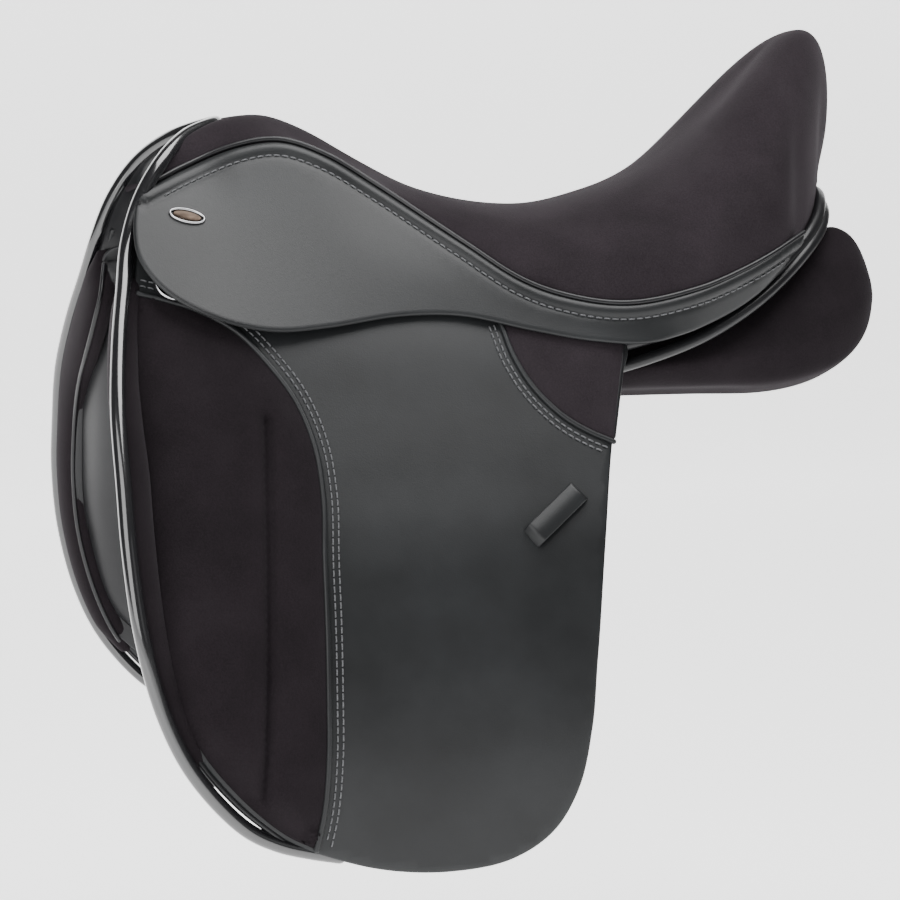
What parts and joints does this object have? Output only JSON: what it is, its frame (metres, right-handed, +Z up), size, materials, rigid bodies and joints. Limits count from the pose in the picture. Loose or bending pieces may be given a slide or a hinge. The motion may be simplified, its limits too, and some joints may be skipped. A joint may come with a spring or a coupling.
{
  "type": "english saddle",
  "caption": "Dressage-style English saddle with deep seat, long straight flaps, knee pads, flocked panels, stirrup bars and girth straps.",
  "frame": {"origin": "on the centre plane under the lowest point of the seat, at the height where the panels bear on the horse or rack", "axes": "+X to the rider's near (left) side, +Y from pommel to cantle, +Z up"},
  "size_m": [0.4212, 0.5259, 0.5054],
  "materials": {
    "tree_shell": "moulded",
    "steel": "satin",
    "fastener_steel": "satin",
    "chrome_ring": "polished",
    "badge_metal": "polished rim",
    "seat_suede": "brushed suede",
    "foam": "foam",
    "smooth_leather": "satin grain",
    "lining_leather": "soft grain",
    "gloss_piping": "gloss",
    "black_piping": "satin",
    "panel_suede": "brushed suede",
    "strap_leather": "satin",
    "webbing": "woven"
  },
  "bodies": {
    "root": {"tree": "tree_shell", "gullet_plate": "steel", "gullet_screws": "fastener_steel", "pommel_facing": "black_piping", "seat_cover": "seat_suede", "seat_foam": "foam", "seat_welt": "black_piping", "cantle_roll": "black_piping", "channel_lining": "lining_leather", "front_piping": "gloss_piping", "bar_rivets": "fastener_steel", "skirt_top_left": "smooth_leather", "flap_top_left": "smooth_leather", "sweat_flap_left": "lining_leather", "panel_left": "panel_suede", "forward_panel_left": "lining_leather", "stirrup_bar_left": "steel", "catch_pin_left": "fastener_steel", "dee_chape_left": "lining_leather", "girth_webs_left": "webbing", "skirt_top_right": "smooth_leather", "flap_top_right": "smooth_leather", "sweat_flap_right": "lining_leather", "panel_right": "panel_suede", "forward_panel_right": "lining_leather", "stirrup_bar_right": "steel", "catch_pin_right": "fastener_steel", "dee_chape_right": "lining_leather", "girth_webs_right": "webbing"},
    "skirt_left": {"skirt_left": "smooth_leather", "badge_left": "badge_metal"},
    "flap_left": {"flap_left": "smooth_leather", "knee_pad_left": "seat_suede", "flap_edging_left": "black_piping", "rear_patch_left": "seat_suede", "keeper_left": "smooth_leather"},
    "bar_catch_left": {"bar_catch_left": "fastener_steel"},
    "dee_ring_left": {"dee_ring_left": "chrome_ring"},
    "front_strap_left": {"front_girth_strap_left": "strap_leather"},
    "rear_strap_left": {"rear_girth_strap_left": "strap_leather"},
    "skirt_right": {"skirt_right": "smooth_leather", "badge_right": "badge_metal"},
    "flap_right": {"flap_right": "smooth_leather", "knee_pad_right": "seat_suede", "flap_edging_right": "black_piping", "rear_patch_right": "seat_suede", "keeper_right": "smooth_leather"},
    "bar_catch_right": {"bar_catch_right": "fastener_steel"},
    "dee_ring_right": {"dee_ring_right": "chrome_ring"},
    "front_strap_right": {"front_girth_strap_right": "strap_leather"},
    "rear_strap_right": {"rear_girth_strap_right": "strap_leather"}
  },
  "joints": [
    {"name": "skirt_lift_left", "type": "hinge", "parent": "root", "child": "skirt_left", "pos_m": [0.064, -0.245, 0.128], "axis": [-0.1633, -0.9477, 0.2741], "range_deg": [0, 50]},
    {"name": "flap_lift_left", "type": "hinge", "parent": "root", "child": "flap_left", "pos_m": [0.1137, -0.1, 0.03], "axis": [0, -1, 0], "range_deg": [0, 65]},
    {"name": "catch_turn_left", "type": "hinge", "parent": "root", "child": "bar_catch_left", "pos_m": [0.07, -0.087, 0.087], "axis": [1, 0, 0], "range_deg": [0, 80]},
    {"name": "dee_swing_left", "type": "hinge", "parent": "root", "child": "dee_ring_left", "pos_m": [0.0895, -0.236, 0.079], "axis": [0, -1, 0], "range_deg": [0, 6]},
    {"name": "front_strap_swing_left", "type": "hinge", "parent": "root", "child": "front_strap_left", "pos_m": [0.0925, -0.165, 0.05], "axis": [1, 0, 0], "range_deg": [-6, 6]},
    {"name": "rear_strap_swing_left", "type": "hinge", "parent": "root", "child": "rear_strap_left", "pos_m": [0.0925, -0.072, 0.05], "axis": [1, 0, 0], "range_deg": [-6, 6]},
    {"name": "skirt_lift_right", "type": "hinge", "parent": "root", "child": "skirt_right", "pos_m": [-0.064, -0.245, 0.128], "axis": [-0.1633, 0.9477, -0.2741], "range_deg": [0, 50]},
    {"name": "flap_lift_right", "type": "hinge", "parent": "root", "child": "flap_right", "pos_m": [-0.1137, -0.1, 0.03], "axis": [0, 1, 0], "range_deg": [0, 65]},
    {"name": "catch_turn_right", "type": "hinge", "parent": "root", "child": "bar_catch_right", "pos_m": [-0.07, -0.087, 0.087], "axis": [1, 0, 0], "range_deg": [0, 80]},
    {"name": "dee_swing_right", "type": "hinge", "parent": "root", "child": "dee_ring_right", "pos_m": [-0.0895, -0.236, 0.079], "axis": [0, 1, 0], "range_deg": [0, 6]},
    {"name": "front_strap_swing_right", "type": "hinge", "parent": "root", "child": "front_strap_right", "pos_m": [-0.0925, -0.165, 0.05], "axis": [1, 0, 0], "range_deg": [-6, 6]},
    {"name": "rear_strap_swing_right", "type": "hinge", "parent": "root", "child": "rear_strap_right", "pos_m": [-0.0925, -0.072, 0.05], "axis": [1, 0, 0], "range_deg": [-6, 6]}
  ]
}
